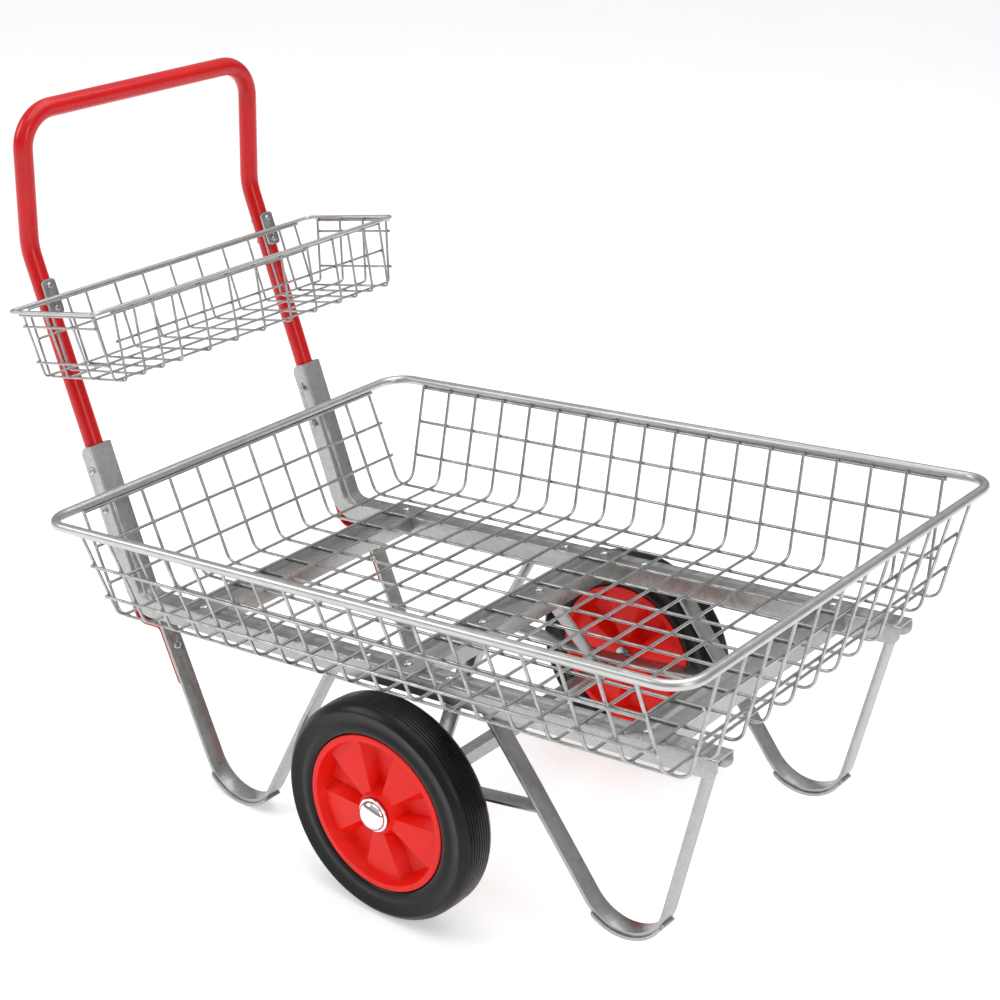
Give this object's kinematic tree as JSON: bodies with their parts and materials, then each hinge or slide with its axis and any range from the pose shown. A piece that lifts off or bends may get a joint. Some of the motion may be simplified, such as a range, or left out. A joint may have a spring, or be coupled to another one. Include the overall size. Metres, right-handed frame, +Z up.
{
  "type": "two-wheeled wire basket cart",
  "caption": "Garden cart with a large welded wire basket on a steel channel frame, two rubber-tyred wheels, bent bar legs, a red tube push handle and a small wire tool tray.",
  "frame": {"origin": "centre of the bounding box on the ground, with the cart standing on its wheels and rear legs", "axes": "+X forward, away from the handle; +Y to the left; +Z up"},
  "size_m": [1.1486, 0.6904, 0.876],
  "materials": {
    "galvanised_steel": "bright zinc, lightly spangled",
    "zinc_wire": "zinc plated wire",
    "zinc_fastener": "zinc plated",
    "red_paint": "gloss",
    "red_plastic": "semi gloss",
    "rubber": "matt",
    "chrome": "polished",
    "nylon": "natural"
  },
  "bodies": {
    "frame": {"basket_wall_left": "zinc_wire", "basket_wall_right": "zinc_wire", "basket_wall_front": "zinc_wire", "basket_wall_rear": "zinc_wire", "basket_floor": "zinc_wire", "basket_rim": "zinc_wire", "side_channel_left": "galvanised_steel", "side_channel_right": "galvanised_steel", "cross_member_rear": "galvanised_steel", "cross_member_middle": "galvanised_steel", "cross_member_front": "galvanised_steel", "leg_front_left": "galvanised_steel", "leg_rear_left": "galvanised_steel", "shoe_front_left": "galvanised_steel", "shoe_rear_left": "galvanised_steel", "leg_front_right": "galvanised_steel", "leg_rear_right": "galvanised_steel", "shoe_front_right": "galvanised_steel", "shoe_rear_right": "galvanised_steel", "axle": "galvanised_steel", "axle_beam": "galvanised_steel", "stay_left": "galvanised_steel", "stay_right": "galvanised_steel", "brace_left": "galvanised_steel", "brace_right": "galvanised_steel", "handle_tube": "red_paint", "handle_toe_left": "red_paint", "handle_toe_right": "red_paint", "tray_wall_left": "zinc_wire", "tray_wall_right": "zinc_wire", "tray_wall_front": "zinc_wire", "tray_wall_rear": "zinc_wire", "tray_floor": "zinc_wire", "tray_rim": "zinc_wire", "tray_plate_left": "zinc_wire", "tray_plate_right": "zinc_wire", "tray_screws": "zinc_fastener", "frame_bolts": "zinc_fastener", "socket_bolts": "zinc_fastener", "toe_bolts": "zinc_fastener", "axle_washers": "zinc_fastener", "hub_caps": "chrome"},
    "wheel_left": {"tyre_left": "rubber", "hub_left": "red_plastic", "hub_bushes_left": "nylon"},
    "wheel_right": {"tyre_right": "rubber", "hub_right": "red_plastic", "hub_bushes_right": "nylon"}
  },
  "joints": [
    {"name": "wheel_left_spin", "type": "hinge", "parent": "frame", "child": "wheel_left", "pos_m": [0.10847, 0.259, 0.144], "axis": [0, 1, 0], "continuous": true},
    {"name": "wheel_right_spin", "type": "hinge", "parent": "frame", "child": "wheel_right", "pos_m": [0.10847, -0.259, 0.144], "axis": [0, 1, 0], "continuous": true}
  ]
}
